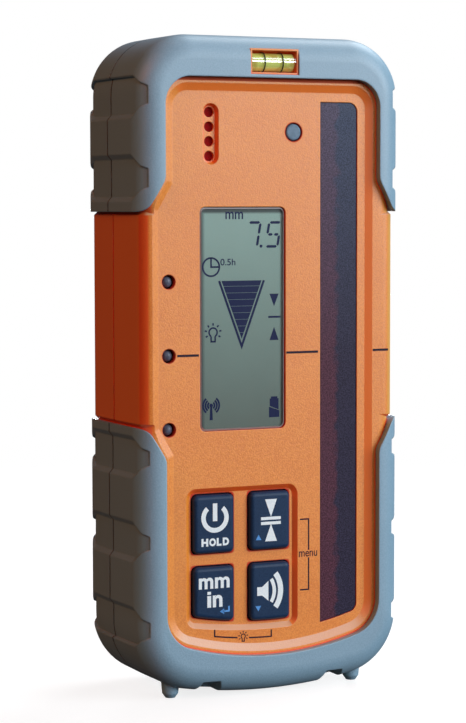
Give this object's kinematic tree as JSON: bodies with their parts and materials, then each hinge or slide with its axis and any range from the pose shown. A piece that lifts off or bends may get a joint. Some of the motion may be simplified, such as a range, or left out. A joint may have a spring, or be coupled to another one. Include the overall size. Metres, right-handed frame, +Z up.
{
  "type": "digital laser receiver",
  "caption": "Hand-held laser receiver: orange two-shell housing with soft grey bumpers, tall detector window, display, push keys, spirit vial and hinged battery door.",
  "frame": {"origin": "on the standing surface, among the four pegs, under the middle of the body", "axes": "+X to the right seen from the front, +Y to the back, +Z up"},
  "size_m": [0.0752, 0.036, 0.1664],
  "materials": {
    "orange_housing": "fine moulded texture",
    "grey_bumper": "soft matte",
    "dark_window": "tinted, polished",
    "display_cover": "clear, polished",
    "display_glass": "satin grey-green",
    "key_rubber": "satin",
    "lamp_lens": "polished, tinted",
    "sensor_lens": "satin",
    "vial_acrylic": "clear, polished",
    "vial_fluid": "yellow-green liquid",
    "vial_mark": "printed ring",
    "seal_rubber": "matte",
    "membrane_film": "thin, dyed",
    "board_laminate": "solder mask",
    "diode_case": "moulded",
    "filter_sheet": "tinted",
    "black_plastic": "moulded",
    "light_guide": "frosted",
    "contact_strip": "striped",
    "cell_wrap": "sleeved",
    "steel": "plated",
    "brass_insert": "turned",
    "latch_plastic": "moulded"
  },
  "bodies": {
    "housing": {"front_shell": "orange_housing", "rear_shell": "orange_housing", "top_bumper_front": "grey_bumper", "top_bumper_rear": "grey_bumper", "bottom_bumper_front": "grey_bumper", "bottom_bumper_rear": "grey_bumper", "feet": "grey_bumper", "receiver_window": "dark_window", "lcd_window": "display_cover", "lcd_panel": "display_glass", "led_low": "lamp_lens", "led_on_grade": "lamp_lens", "led_high": "lamp_lens", "light_sensor": "sensor_lens", "vial_tube": "vial_acrylic", "vial_liquid": "vial_fluid", "vial_rings": "vial_mark", "shell_gasket": "seal_rubber", "window_gasket": "seal_rubber", "keypad_seal": "seal_rubber", "buzzer_membrane": "membrane_film", "detector_board": "board_laminate", "main_board": "board_laminate", "photodiodes": "diode_case", "optical_filter": "filter_sheet", "lcd_frame": "black_plastic", "key_switches": "black_plastic", "buzzer": "black_plastic", "lcd_backlight": "light_guide", "lcd_connectors": "contact_strip", "battery_cells": "cell_wrap", "battery_contacts": "steel", "door_hinge_pin": "steel", "shell_screws": "steel", "board_screws": "steel", "clamp_insert": "brass_insert", "clamp_dowels": "brass_insert"},
    "power_key": {"power_key": "key_rubber"},
    "grade_key": {"grade_key": "key_rubber"},
    "units_key": {"units_key": "key_rubber"},
    "sound_key": {"sound_key": "key_rubber"},
    "battery_door": {"battery_door": "orange_housing", "door_seal": "seal_rubber"},
    "door_latch": {"door_latch": "latch_plastic"}
  },
  "joints": [
    {"name": "power_key_press", "type": "slide", "parent": "housing", "child": "power_key", "axis": [0, 1, 0], "range_m": [0, 0.0008], "stiffness_N_per_m": 1200},
    {"name": "grade_key_press", "type": "slide", "parent": "housing", "child": "grade_key", "axis": [0, 1, 0], "range_m": [0, 0.0008], "stiffness_N_per_m": 1200},
    {"name": "units_key_press", "type": "slide", "parent": "housing", "child": "units_key", "axis": [0, 1, 0], "range_m": [0, 0.0008], "stiffness_N_per_m": 1200},
    {"name": "sound_key_press", "type": "slide", "parent": "housing", "child": "sound_key", "axis": [0, 1, 0], "range_m": [0, 0.0008], "stiffness_N_per_m": 1200},
    {"name": "door_swing", "type": "hinge", "parent": "housing", "child": "battery_door", "pos_m": [0, 0.0154, 0.0164], "axis": [-1, 0, 0], "range_deg": [0, 100]},
    {"name": "latch_turn", "type": "hinge", "parent": "battery_door", "child": "door_latch", "pos_m": [0, 0.0164, 0.0802], "axis": [0, 1, 0], "range_deg": [0, 90]}
  ]
}
